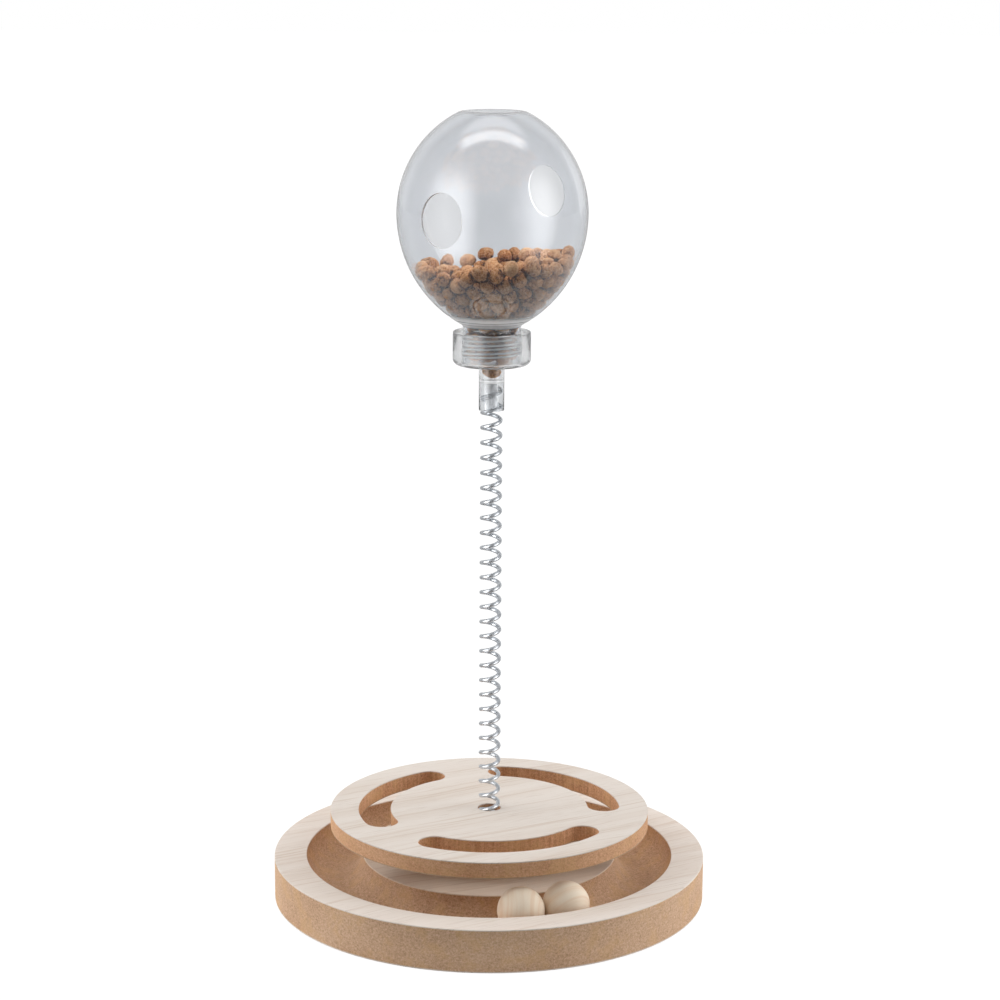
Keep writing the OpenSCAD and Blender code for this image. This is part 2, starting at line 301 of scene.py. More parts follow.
# fibre is the rotation, in degrees, that lays the grain along Z
def turnedWoodMaterial(name, fibre, ringScale=woodLook["ringScale"],
                       pale=woodLook["pale"], late=woodLook["late"]):
    look = woodLook

    def build(place):
        turned = {"Vector": place, "Rotation": tuple(math.radians(degrees) for degrees in fibre)}
        along = place.node("Mapping", None, turned)
        drift = (streaks(along, look["driftScale"]) - 0.5) * look["drift"]
        wavy = nudge(along, "X", drift)
        growth = streaks(wavy, (ringScale, *look["ringLength"]), detail=3.0, roughness=0.55)
        rings = smoothStep(growth, *look["ringEdge"])
        fibres = streaks(along, look["fibreScale"])
        ground = mixColour(rings * look["ringTint"], pale, late)
        return {
            "Base Color": mixColour(smoothStep(fibres, *look["fibreEdge"]) * look["fibreTint"], ground, late),
            "Roughness": look["roughness"] + fibres * look["fibreRoughness"],
            "Normal": bumpFrom(1 - fibres, look["fibreDepth"]),
            "Specular IOR Level": look["gloss"],
        }
    return newMaterial(name, build)


kibbleLook = {
    "burnt": (0.120, 0.034, 0.008),
    "baked": (0.640, 0.264, 0.081),
    "dusty": (0.900, 0.530, 0.270),
    "burntAt": 0.12,
    "bakedAt": 0.50,
    "dustyAt": 0.92,
    "toneAndShadeShare": 0.34,
    "crumbScale": 850,
    "crumbShare": 2.0,
    "blotchScale": 210,
    "blotchShare": 0.60,
    "speckScale": 1500,
    "speckEdge": (0.56, 0.66),
    "speckShare": 0.34,
    # how much darker grains are painted where they touch: painted shade
    "gapShadeShare": 0.85,
    "darken": 0.86,
    "crust": 1.30 * mm,
    "blotchDepth": 0.8,
    "roughness": 0.92,
    "crumbShine": 0.2,
    "gloss": 0.2,
}


def kibbleMaterial():
    look = kibbleLook

    def build(place):
        # the tone attribute is each grain's random tone, lowered on the grains in the neck as painted shade
        tone = place.node("Attribute", {"attribute_name": "tone"}, None, "Fac")
        # the attribute read next darkens grains where they come near each other: painted shade
        cover = place.node("Attribute", {"attribute_name": "cover"}, None, "Fac")
        crumb = grainNoise(place, look["crumbScale"], detail=4.0, roughness=0.7)
        blotch = grainNoise(place, look["blotchScale"])
        specks = smoothStep(grainNoise(place, look["speckScale"]), *look["speckEdge"])
        level = tone * look["toneAndShadeShare"] + crumb * look["crumbShare"] + blotch * look["blotchShare"]
        level = level + specks * look["speckShare"] - cover * look["gapShadeShare"] - look["darken"]
        stops = [(look[name + "At"], look[name]) for name in ("burnt", "baked", "dusty")]
        relief = crumb + blotch * look["blotchDepth"]
        return {
            "Base Color": level.node("ValToRGB", {"stops": stops}, {"Fac": level}),
            "Roughness": look["roughness"] - crumb * look["crumbShine"],
            "Normal": bumpFrom(relief, look["crust"]),
            "Specular IOR Level": look["gloss"],
        }
    return newMaterial("bakedKibble", build)


wireLook = {
    "steel": (0.670, 0.700, 0.735),
    "worn": (0.580, 0.610, 0.645),
    "wornScale": 160,
    "wornTint": 0.35,
    "metal": 0.66,
    "roughness": 0.26,
    "lineScale": 2200,
    "lineRoughness": 0.04,
}


def wireMaterial():
    look = wireLook

    def build(place):
        lines = grainNoise(place, look["lineScale"])
        haze = grainNoise(place, look["wornScale"])
        return {
            "Base Color": mixColour(haze * look["wornTint"], look["steel"], look["worn"]),
            "Metallic": look["metal"],
            "Roughness": look["roughness"] + lines * look["lineRoughness"],
        }
    return newMaterial("drawnWire", build)


zincLook = {
    "dull": (0.55, 0.56, 0.57),
    "bright": (0.74, 0.75, 0.76),
    "patchScale": 900,
    "roughness": 0.28,
    "patchRoughness": 0.15,
}


def zincMaterial():
    look = zincLook

    def build(place):
        patches = grainNoise(place, look["patchScale"])
        return {
            "Base Color": mixColour(patches, look["dull"], look["bright"]),
            "Metallic": 1.0,
            "Roughness": look["roughness"] + patches * look["patchRoughness"],
        }
    return newMaterial("zincPlate", build)


clearLook = {
    "tint": (0.900, 0.918, 0.945, 1),
    "through": 0.97,
    "ior": 1.58,
    "gloss": 1.0,
    "roughness": 0.015,
    "scuffScale": 700,
    "scuffStretch": (1, 1, 3),
    "scuffEdge": (0.60, 0.80),
    "scuffRoughness": 0.05,
    "wobbleScale": 26,
    "wobble": 0.05 * mm,
    # this colour and the entries after it paint a whitish band on the collar, thinned by rings: painted
    # highlight
    "haze": (0.950, 0.962, 0.975, 1),
    "highlightRoughness": 0.30,
    "highlightTint": 0.95,
    "highlightSoft": 0.5 * mm,
    "highlightTop": 8 * mm,
    "ringScale": 1100,
    "ringEdge": (0.50, 0.62),
    "ringClear": 0.7,
}


# the thick collar over this height gets a whitish band with fine rings, standing in for the bright highlights
# of the thick shoulder: painted highlight
def clearMaterial(collarZ):
    look = clearLook
    material = bpy.data.materials.new("clearBlownPlastic")
    start = emptyTree(material)
    place = start.node("TexCoord", output="Object")
    wobble = grainNoise(place, look["wobbleScale"], detail=1.0)
    scratches = grainNoise(stretch(place, look["scuffStretch"]), look["scuffScale"])
    scuffs = smoothStep(scratches, *look["scuffEdge"])
    clear = {
        "Base Color": look["tint"],
        "Transmission Weight": look["through"],
        "IOR": look["ior"],
        "Specular IOR Level": look["gloss"],
        "Roughness": look["roughness"] + scuffs * look["scuffRoughness"],
        "Normal": bumpFrom(wobble, look["wobble"]),
    }
    shoulderHighlight = {"Base Color": look["haze"], "Roughness": look["highlightRoughness"], "IOR": look["ior"]}
    height = place.node("SeparateXYZ", None, {0: place}, "Z") - collarZ
    faded = smoothStep(height, look["highlightTop"] / 2, look["highlightTop"])
    collar = smoothStep(height, -look["highlightSoft"], look["highlightSoft"]) * (1 - faded)
    layers = grainNoise(stretch(place, (0, 0, 1)), look["ringScale"], detail=1.0)
    rings = smoothStep(layers, *look["ringEdge"])
    # the whitish band, thinned by rings: painted highlight
    paintedHighlight = collar * (look["highlightTint"] - look["ringClear"] * rings)
    clearShader = start.node("BsdfPrincipled", None, clear)
    shoulderHighlightShader = start.node("BsdfPrincipled", None, shoulderHighlight)
    mixed = start.node("MixShader", None, {0: paintedHighlight, 1: clearShader, 2: shoulderHighlightShader})
    start.node("OutputMaterial", None, {"Surface": mixed})
    return material


sawnLook = {
    "tint": (0.950, 0.960, 0.970, 1),
    "through": 0.1,
    "roughness": 0.35,
    "sawScale": 1800,
    "sawRoughness": 0.2,
}


def cutEdgeMaterial():
    look = sawnLook

    def build(place):
        saw = grainNoise(place, look["sawScale"])
        return {
            "Base Color": look["tint"],
            "Transmission Weight": look["through"],
            "IOR": clearLook["ior"],
            "Roughness": look["roughness"] + saw * look["sawRoughness"],
        }
    return newMaterial("sawnPlastic", build)


frostLook = {
    "tint": (0.930, 0.940, 0.950, 1),
    "through": 0.90,
    "ior": 1.47,
    "roughness": 0.02,
    "cloudScale": 220,
    "cloudRoughness": 0.03,
    "grainScale": 2600,
    "grainDepth": 0.002 * mm,
}


def frostMaterial():
    look = frostLook

    def build(place):
        cloud = grainNoise(place, look["cloudScale"])
        grain = grainNoise(place, look["grainScale"], detail=1.0)
        return {
            "Base Color": look["tint"],
            "Transmission Weight": look["through"],
            "IOR": look["ior"],
            "Roughness": look["roughness"] + cloud * look["cloudRoughness"],
            "Normal": bumpFrom(grain, look["grainDepth"]),
        }
    return newMaterial("frostedPlastic", build)


milkyLook = {
    "dense": (0.930, 0.945, 0.960),
    "thin": (0.960, 0.970, 0.980),
    "cloudScale": 300,
    "cloudRoughness": 0.05,
}


def milkyMaterial(name, through, roughness):
    look = milkyLook

    def build(place):
        cloud = grainNoise(place, look["cloudScale"])
        return {
            "Base Color": mixColour(cloud, look["dense"], look["thin"]),
            "Transmission Weight": through,
            "Roughness": roughness + cloud * look["cloudRoughness"],
            "IOR": frostLook["ior"],
        }
    return newMaterial(name, build)


# drawing outlines in the XZ plane and spinning them

weldDistance = 0.001 * mm
levelSlack = 0.01 * mm


def startAt(bm, r, z):
    return bm.verts.new((r, 0, z))


def lineTo(bm, last, r, z):
    vert = bm.verts.new((r, 0, z))
    bm.edges.new((last, vert))
    return vert


def vertsIn(parts):
    return [part for part in parts if isinstance(part, bmesh.types.BMVert)]


def arcTo(bm, last, centre, degrees, steps):  # clockwise as seen from the front
    made = bmesh.ops.spin(bm, geom=[last], cent=(centre[0], 0, centre[1]), axis=(0, 1, 0),
                          angle=math.radians(degrees), steps=steps)
    return vertsIn(made["geom_last"])[0]


def closeSeams(bm):
    bmesh.ops.remove_doubles(bm, verts=bm.verts[:], dist=weldDistance)
    bmesh.ops.recalc_face_normals(bm, faces=bm.faces[:])


def spinFull(bm, steps):
    bmesh.ops.spin(bm, geom=bm.verts[:] + bm.edges[:], cent=(0, 0, 0), axis=(0, 0, 1),
                   angle=2 * math.pi, steps=steps, use_merge=True)
    closeSeams(bm)


def windUp(bm, turns, rise, steps):  # a helix with closed ends
    bmesh.ops.spin(bm, geom=bm.verts[:] + bm.edges[:], cent=(0, 0, 0), axis=(0, 0, 1),
                   dvec=(0, 0, rise / steps), angle=2 * math.pi * turns, steps=steps)
    bmesh.ops.holes_fill(bm, edges=[edge for edge in bm.edges if edge.is_boundary], sides=0)
    bmesh.ops.recalc_face_normals(bm, faces=bm.faces[:])


def easeEdges(bm, width, chosen, steps=3, crease=40):
    manifold = [edge for edge in bm.edges if edge.is_manifold]
    sharp = [edge for edge in manifold if edge.calc_face_angle() > math.radians(crease)]
    bmesh.ops.bevel(bm, geom=[edge for edge in sharp if chosen(edge)], offset=width, offset_type="OFFSET",
                    segments=steps, profile=0.5, affect="EDGES", material=-1, clamp_overlap=True)


def roundCorners(bm, corners, width, steps=4):
    bmesh.ops.bevel(bm, geom=corners, offset=width, offset_type="OFFSET", segments=steps, profile=0.5,
                    affect="VERTICES", material=-1, clamp_overlap=True)


def levelWith(z):
    return lambda edge: all(abs(vert.co.z - z) < levelSlack for vert in edge.verts)


def newPiece(name, bm, material, sharpAngle=12):
    mesh = bpy.data.meshes.new(name)
    bm.to_mesh(mesh)
    bm.free()
    mesh.shade_smooth()
    mesh.set_sharp_from_angle(angle=math.radians(sharpAngle))
    mesh.materials.append(material)
    piece = bpy.data.objects.new(name, mesh)
    scene.collection.objects.link(piece)
    return piece


def dressNode(node, material):
    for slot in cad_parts[node].material_slots:
        slot.material = material


# base board, its groove and its veneers

coreLow, coreHigh = heights("base_board")
topZ = heights("rim_veneer")[1]
boardR = outerRadius("base_board")
islandR = outerRadius("island_veneer")
firstBall = middle("ball_1")
trackR = math.hypot(firstBall.x, firstBall.y)
grooveR = trackR - islandR

board = {
    "turns": 256,
    "grooveSteps": 40,
    "ease": 0.30 * mm,
    "sandedRim": 1 * mm,
    "chatter": 0.0,
    "grain": 29,
    "grainShift": (0.31, 0.12, 0),
    "islandGrain": 24,
    "islandShift": (0.07, 0.52, 0),
    # the island veneer gets darker, warmer tones than the rim veneer for the shade under the disc: painted
    # shade
    "islandShadePale": (0.800, 0.680, 0.565),
    "islandShadeWarm": (0.640, 0.490, 0.370),
}


def makeBaseBoard(material):
    bm = bmesh.new()
    drop = topZ - coreHigh
    reach = math.sqrt(grooveR ** 2 - drop ** 2)
    sink = math.degrees(math.asin(drop / grooveR))
    pen = startAt(bm, 0, coreLow)
    pen = lineTo(bm, pen, boardR, coreLow)
    pen = lineTo(bm, pen, boardR, coreHigh)
    pen = lineTo(bm, pen, trackR + reach, coreHigh)
    pen = arcTo(bm, pen, (trackR, topZ), 180 - 2 * sink, board["grooveSteps"])
    lineTo(bm, pen, 0, coreHigh)
    spinFull(bm, board["turns"])
    return newPiece("baseBoard", bm, material)


def makeVeneer(name, inner, outer, low, high, material):
    bm = bmesh.new()
    first = startAt(bm, inner, low)
    pen = lineTo(bm, first, outer, low)
    pen = lineTo(bm, pen, outer, high)
    pen = lineTo(bm, pen, inner, high)
    if inner > 0:
        bm.edges.new((pen, first))
    spinFull(bm, board["turns"])
    easeEdges(bm, board["ease"], levelWith(high))
    return newPiece(name, bm, material)


baseFibre = fibreMaterial("baseFibreboard", fibreLook["base"], trackR + grooveR,
                          boardR - board["sandedRim"], board["chatter"])
rimGrain = veneerMaterial("rimVeneer", board["grain"], board["grainShift"])
# darker, warmer island tones: painted shade
islandGrain = veneerMaterial("islandVeneerShaded", board["islandGrain"], board["islandShift"],
                             board["islandShadePale"], board["islandShadeWarm"])
baseBoard = makeBaseBoard(baseFibre)
rimVeneer = makeVeneer("rimVeneerRing", trackR + grooveR, boardR, coreHigh, topZ, rimGrain)
islandVeneerShaded = makeVeneer("islandVeneerDisc", 0, islandR, coreHigh, topZ, islandGrain)
baseLayers = ((baseBoard, "base_board"), (rimVeneer, "rim_veneer"), (islandVeneerShaded, "island_veneer"))
for piece, node in baseLayers:
    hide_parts(node)
    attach(piece, "base")
print("base board made")


# top disc: core, veneer and backing with the same slots

disc = {
    "turns": 240,
    "holeR": 6.3 * mm,
    "holeSteps": 64,
    "slots": 3,
    "slotR": 63 * mm,
    "slotW": 17.6 * mm,
    "slotSpan": 80,
    "slotTurn": 13,
    "arcSteps": 40,
    "endSteps": 28,
    "ease": 0.28 * mm,
    "sandedRim": 1 * mm,
    "chatter": 0.3,
    "grain": 31,
    "grainShift": (0.83, 0.41, 0),
    "facePale": (0.760, 0.688, 0.624),
    "faceWarm": (0.610, 0.498, 0.408),
    "backPale": (0.500, 0.340, 0.220),
    "backWarm": (0.380, 0.240, 0.145),
}


def drawSlot(bm, turn):
    half = disc["slotSpan"] / 2
    inner = disc["slotR"] - disc["slotW"] / 2

    def sweep(last, centre, degrees, steps):
        made = bmesh.ops.spin(bm, geom=[last], cent=centre, axis=(0, 0, 1),
                              angle=math.radians(degrees), steps=steps)
        return vertsIn(made["geom_last"])[0]

    def fromFront(r, degrees):
        return Vector((r * math.sin(math.radians(degrees)), -r * math.cos(math.radians(degrees)), 0))

    pen = bm.verts.new(fromFront(inner, turn - half))
    pen = sweep(pen, (0, 0, 0), disc["slotSpan"], disc["arcSteps"])
    pen = sweep(pen, fromFront(disc["slotR"], turn + half), -180, disc["endSteps"])
    pen = sweep(pen, (0, 0, 0), -disc["slotSpan"], disc["arcSteps"])
    sweep(pen, fromFront(disc["slotR"], turn - half), -180, disc["endSteps"])


def makeDiscLayer(name, node, material, easedZ=None):
    low, high = heights(node)
    bm = bmesh.new()
    for radius, segments in ((outerRadius(node), disc["turns"]), (disc["holeR"], disc["holeSteps"])):
        bmesh.ops.create_circle(bm, cap_ends=False, segments=segments, radius=radius)
    for i in range(disc["slots"]):
        drawSlot(bm, disc["slotTurn"] + 360 * i / disc["slots"])
    bmesh.ops.remove_doubles(bm, verts=bm.verts[:], dist=weldDistance)
    bmesh.ops.triangle_fill(bm, use_beauty=True, use_dissolve=False, edges=bm.edges[:])
    bmesh.ops.translate(bm, vec=(0, 0, low), verts=bm.verts[:])
    raised = bmesh.ops.extrude_face_region(bm, geom=bm.faces[:], use_keep_orig=True)
    bmesh.ops.translate(bm, vec=(0, 0, high - low), verts=vertsIn(raised["geom"]))
    closeSeams(bm)
    if easedZ is not None:
        easeEdges(bm, disc["ease"], levelWith(easedZ))
    piece = newPiece(name, bm, material)
    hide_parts(node)
    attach(piece, "base")


slotRim = disc["slotR"] + disc["slotW"] / 2
discFibre = fibreMaterial("discFibreboard", fibreLook["disc"], slotRim,
                          outerRadius("top_disc") - disc["sandedRim"], disc["chatter"])
backGrain = veneerMaterial("backVeneer", disc["grain"], disc["grainShift"],
                           disc["backPale"], disc["backWarm"])
discGrain = veneerMaterial("discVeneer", disc["grain"], disc["grainShift"],
                           disc["facePale"], disc["faceWarm"])
makeDiscLayer("discCore", "top_disc", discFibre)
makeDiscLayer("discFace", "disc_veneer", discGrain, heights("disc_veneer")[1])
makeDiscLayer("discBack", "disc_backing", backGrain, heights("disc_backing")[0])
print("top disc made")


# pieces whose CAD shape is right keep it

block = {"fibre": (0, 90, 0), "ringScale": 240.0, "pale": (0.62, 0.50, 0.38), "late": (0.50, 0.37, 0.26)}
backing = {"grain": 12, "grainShift": (0.2, 0.9, 0)}

blockWood = turnedWoodMaterial("spacerWood", block["fibre"], block["ringScale"], block["pale"], block["late"])
dressNode("spacer", blockWood)
dressNode("spring_peg", blockWood)
dressNode("base_backing", veneerMaterial("backingVeneer", backing["grain"], backing["grainShift"]))
dressNode("screws", zincMaterial())


# balls, turned along their fibres

ball = {
    "turns": 96,
    "sweepSteps": 60,
    "sharp": 30,
    "poleFlat": 1.1 * mm,
    "uprightTilt": 4,
    "leaningTilt": 68,
    "leaningAxis": (0.3, 1, 0.2),
    "leaningFibre": (35, -62, 20),
    "leaningRings": 260.0,
}


def makeBall(name, node, tilt, material, body):
    centre = middle(node)
    radius = outerRadius(node)
    flat = ball["poleFlat"]
    poleZ = math.sqrt(radius ** 2 - flat ** 2)
    bm = bmesh.new()
    pen = startAt(bm, 0, poleZ)
    pen = lineTo(bm, pen, flat, poleZ)
    sweep = 180 - 2 * math.degrees(math.asin(flat / radius))
    pen = arcTo(bm, pen, (0, 0), sweep, ball["sweepSteps"])
    lineTo(bm, pen, 0, -poleZ)
    spinFull(bm, ball["turns"])
    place = Matrix.Translation(centre) @ tilt.to_matrix().to_4x4()
    bmesh.ops.transform(bm, matrix=place, verts=bm.verts[:])
    piece = newPiece(name, bm, material, ball["sharp"])
    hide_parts(node)
    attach(piece, body)


upright = Quaternion((0, 1, 0), math.radians(ball["uprightTilt"]))
leaning = Quaternion(ball["leaningAxis"], math.radians(ball["leaningTilt"]))
uprightWood = turnedWoodMaterial("ballWoodUpright", (0, -ball["uprightTilt"], 0))
leaningWood = turnedWoodMaterial("ballWoodLeaning", ball["leaningFibre"], ball["leaningRings"])
makeBall("ballUpright", "ball_1", upright, uprightWood, "ball_1")
makeBall("ballLeaning", "ball_2", leaning, leaningWood, "ball_2")
print("balls made")


# spring: one wire, wound as two pieces that meet at a set height

coil = {
    "pitch": 8.23 * mm,
    "wireR": 1.125 * mm,
    "startAngle": 242,
    "splitZ": 190 * mm,
    "turnSteps": 48,
    "sides": 16,
    "sharp": 40,
}
discTop = heights("disc_veneer")[1]
coilLow, coilHigh = heights("spring")
coilR = outerRadius("spring") - coil["wireR"]
spigotLow, capTop = heights("screw_cap")


def makeCoil(name, fromZ, toZ, material):
    bm = bmesh.new()
    slope = math.atan(coil["pitch"] / (2 * math.pi * coilR))
    turn = math.radians(coil["startAngle"]) + 2 * math.pi * (fromZ - discTop) / coil["pitch"]
    bmesh.ops.create_circle(bm, cap_ends=False, segments=coil["sides"], radius=coil["wireR"])
    place = Matrix.Rotation(turn, 4, "Z") @ Matrix.Translation((coilR, 0, fromZ))
    place = place @ Matrix.Rotation(slope - math.pi / 2, 4, "X")
    bmesh.ops.transform(bm, matrix=place, verts=bm.verts[:])
    turns = (toZ - fromZ) / coil["pitch"]
    windUp(bm, turns, toZ - fromZ, round(turns * coil["turnSteps"]))
    piece = newPiece(name, bm, material, coil["sharp"])
    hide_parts("spring")
    return piece


wireSteel = wireMaterial()
lowerCoil = makeCoil("springLower", coilLow + coil["wireR"], coil["splitZ"], wireSteel)
upperCoil = makeCoil("springUpper", coil["splitZ"], coilHigh - coil["wireR"], wireSteel)
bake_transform(lowerCoil)
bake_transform(upperCoil)
print("spring wound")


# globe: a blown shell with a neck, a foot and two feed holes

lipZ, globeTop = heights("globe")
globeR = outerRadius("globe")
globe = {
    "turns": 192,
    "arcSteps": 48,
    "sharp": 50,
    "wall": 1.2 * mm,
    "upperArcR": 59 * mm,
    "lowerArcR": 67.2 * mm,
    "capGap": 3.5 * mm,
    "neckR": 15.4 * mm,
    "neckRound": 1.2 * mm,
    "footR": 17 * mm,
    "footLand": 3 * mm,
    "footHollow": 1.5 * mm,
    "footRound": 1.6 * mm,
    "footSteps": 10,
    "holes": ((32, 0.4 * mm), (218, 8.4 * mm)),  # where round the globe, and how far over its middle
    "holeW": 24.6 * mm,
    "holeH": 28.5 * mm,
    "holeMargin": 3 * mm,
    "holeRings": 4,
    "sawnFacing": 0.5,
}
lowerOff = globe["lowerArcR"] - globeR
upperOff = globe["upperArcR"] - globeR
bowlZ = capTop + globe["capGap"]
wideZ = bowlZ + math.sqrt(globe["lowerArcR"] ** 2 - (globe["neckR"] + lowerOff) ** 2)


def sideRadius(z):  # outer radius of the bowl at a height
    arcR, off = (globe["upperArcR"], upperOff) if z > wideZ else (globe["lowerArcR"], lowerOff)
    return math.sqrt(max(arcR ** 2 - (z - wideZ) ** 2, 0)) - off


def cutFeedHole(bm, degrees, rise):
    turn = math.radians(degrees)
    out = Vector((-math.sin(turn), -math.cos(turn), 0))
    side = Vector((out.y, -out.x, 0))
    holeZ = wideZ + rise
    halfW = globe["holeW"] / 2
    halfH = globe["holeH"] / 2
    windowW = halfW + globe["holeMargin"]
    windowH = halfH + globe["holeMargin"]
    spread = math.asin(windowW / globeR)

    def inWindow(point):
        facing = point.dot(out) > 0 and abs(math.atan2(point.dot(side), point.dot(out))) < spread
        return facing and abs(point.z - holeZ) < windowH

    window = [face for face in bm.faces if inWindow(face.calc_center_median())]
    bmesh.ops.delete(bm, geom=window, context="FACES")
    frameEdges = [edge for edge in bm.edges if edge.is_boundary and edge.verts[0].co.dot(out) > 0
                  and abs(edge.verts[0].co.z - holeZ) < 2 * halfH]
    ring = bmesh.ops.create_circle(bm, cap_ends=False, segments=len(frameEdges), radius=1.0)["verts"]
    place = Matrix((side * halfW, Vector((0, 0, halfH)), out)).transposed().to_4x4()
    place.translation = out * globeR + Vector((0, 0, holeZ))
    bmesh.ops.transform(bm, matrix=place, verts=ring)
    ringEdges = list({edge for vert in ring for edge in vert.link_edges})
    bridge = bmesh.ops.bridge_loops(bm, edges=frameEdges + ringEdges)
    kept = set(frameEdges) | set(ringEdges)
    across = [edge for edge in bridge["edges"] if edge not in kept]
    bmesh.ops.subdivide_edges(bm, edges=across, cuts=globe["holeRings"], use_grid_fill=True)
    for vert in bm.verts:
        reach = vert.co.dot(side)
        near = abs(reach) < windowW and abs(vert.co.z - holeZ) < windowH
        if near and vert.co.dot(out) > 0:
            depth = math.sqrt(sideRadius(vert.co.z) ** 2 - reach ** 2)
            vert.co = out * depth + side * reach + Vector((0, 0, vert.co.z))


def markCutEdges(bm):  # the second material goes on the sawn edges of the holes
    bm.normal_update()
    for face in bm.faces:
        spot = face.calc_center_median()
        outX = spot.x + upperOff * spot.x / globeR
        outY = spot.y + upperOff * spot.y / globeR
        outward = Vector((outX, outY, spot.z - wideZ)).normalized()
        if abs(spot.z - wideZ) < globe["holeH"] and abs(face.normal.dot(outward)) < globe["sawnFacing"]:
            face.material_index = 1


def makeGlobe(material, cutMaterial):
    bm = bmesh.new()
    hollowR = globe["footR"] - globe["footLand"]
    hollow = globe["footHollow"]
    hollowBall = (hollowR ** 2 + hollow ** 2) / (2 * hollow)
    lowerSweep = math.degrees(math.asin((wideZ - bowlZ) / globe["lowerArcR"]))
    upperSweep = math.degrees(math.asin((globeTop - wideZ) / globe["upperArcR"]))
    hollowSweep = math.degrees(math.asin(hollowR / hollowBall))
    pen = startAt(bm, globe["neckR"], lipZ)
    neckCorner = lineTo(bm, pen, globe["neckR"], bowlZ)
    pen = arcTo(bm, neckCorner, (-lowerOff, wideZ), -lowerSweep, globe["arcSteps"])
    footCorner = arcTo(bm, pen, (-upperOff, wideZ), -upperSweep, globe["arcSteps"])
    landCorner = lineTo(bm, footCorner, hollowR, globeTop)
    arcTo(bm, landCorner, (0, globeTop - hollow + hollowBall), hollowSweep, globe["footSteps"])
    roundCorners(bm, [neckCorner], globe["neckRound"])
    roundCorners(bm, [footCorner, landCorner], globe["footRound"])
    spinFull(bm, globe["turns"])
    for degrees, rise in globe["holes"]:
        cutFeedHole(bm, degrees, rise)
    bmesh.ops.recalc_face_normals(bm, faces=bm.faces[:])
    bmesh.ops.solidify(bm, geom=bm.faces[:], thickness=globe["wall"])
    markCutEdges(bm)
    piece = newPiece("globeShell", bm, material, globe["sharp"])
    piece.data.materials.append(cutMaterial)
    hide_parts("globe")
    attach(piece, "globe")


makeGlobe(clearMaterial(bowlZ), cutEdgeMaterial())
print("globe blown")


# screw cap with its spigot; a finish is how clear and how rough the plastic is

cap = {
    "turns": 144,
    "sharp": 40,
    "height": 17.5 * mm,
    "floor": 2 * mm,
    "edgeR": 3 * mm,
    "edgeSteps": 8,
    "threadWallR": 16.5 * mm,
    "spigotR": 6.8 * mm,
    "springBoreR": 6.2 * mm,
    "springStop": 15 * mm,
    "kibbleBoreR": 5.4 * mm,
    "plug": 1.5 * mm,
    "pinR": 3.3 * mm,
    "pinIn": 1 * mm,
    "round": 0.5 * mm,
    "fine": 0.15 * mm,
    "fineSteps": 2,
    "spigotFinish": (0.96, 0.03),
    "pinFinish": (0.0, 0.32),
}
capR = outerRadius("screw_cap")
capZ = capTop - cap["height"]
capFloor = capZ + cap["floor"]
stopZ = spigotLow + cap["springStop"]
plugZ = stopZ + cap["plug"]


def makeCap(material, spigotMaterial):
    bm = bmesh.new()
    pen = startAt(bm, 0, stopZ)
    pen = lineTo(bm, pen, cap["springBoreR"], stopZ)
    bore = lineTo(bm, pen, cap["springBoreR"], spigotLow)
    tip = lineTo(bm, bore, cap["spigotR"], spigotLow)
    root = lineTo(bm, tip, cap["spigotR"], capZ)
    pen = lineTo(bm, root, capR - cap["edgeR"], capZ)
    pen = arcTo(bm, pen, (capR - cap["edgeR"], capZ + cap["edgeR"]), -90, cap["edgeSteps"])
    brim = lineTo(bm, pen, capR, capTop)
    mouth = lineTo(bm, brim, cap["threadWallR"], capTop)
    corner = lineTo(bm, mouth, cap["threadWallR"], capFloor)
    drain = lineTo(bm, corner, cap["kibbleBoreR"], capFloor)
    pen = lineTo(bm, drain, cap["kibbleBoreR"], plugZ)
    lineTo(bm, pen, 0, plugZ)
    roundCorners(bm, [root, brim, mouth, corner, drain], cap["round"])
    roundCorners(bm, [bore, tip], cap["fine"], cap["fineSteps"])
    spinFull(bm, cap["turns"])
    for face in bm.faces:
        if face.calc_center_median().z < capZ - cap["round"]:
            face.material_index = 1
    piece = newPiece("capShell", bm, material, cap["sharp"])
    piece.data.materials.append(spigotMaterial)
    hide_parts("screw_cap")
    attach(piece, "cap")


def makePin(material):
    low = spigotLow + cap["pinIn"]
    high = stopZ - cap["fine"]
    bm = bmesh.new()
    pen = startAt(bm, 0, low)
    tip = lineTo(bm, pen, cap["pinR"], low)
    pen = lineTo(bm, tip, cap["pinR"], high)
    lineTo(bm, pen, 0, high)
    roundCorners(bm, [tip], cap["round"])
    spinFull(bm, cap["turns"])
    piece = newPiece("capPin", bm, material, cap["sharp"])
    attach(piece, "cap")


makeCap(frostMaterial(), milkyMaterial("spigotPlastic", *cap["spigotFinish"]))
makePin(milkyMaterial("milkyPlastic", *cap["pinFinish"]))


# jar thread: a ridge on the neck and one in the cap, wound alike so that they pass each other

thread = {
    "pitch": 4.2 * mm,
    "proud": 0.75 * mm,
    "root": 1.0 * mm,
    "clear": 0.02 * mm,
    "startAngle": 200,
    "neckStart": 300.2 * mm,
    "neckTurns": 2.3,
    "capStart": 302.3 * mm,
    "capTurns": 2.1,
    "turnSteps": 72,
    "ridgeSteps": 8,
    "sharp": 30,
    "finish": (0.50, 0.22),
}


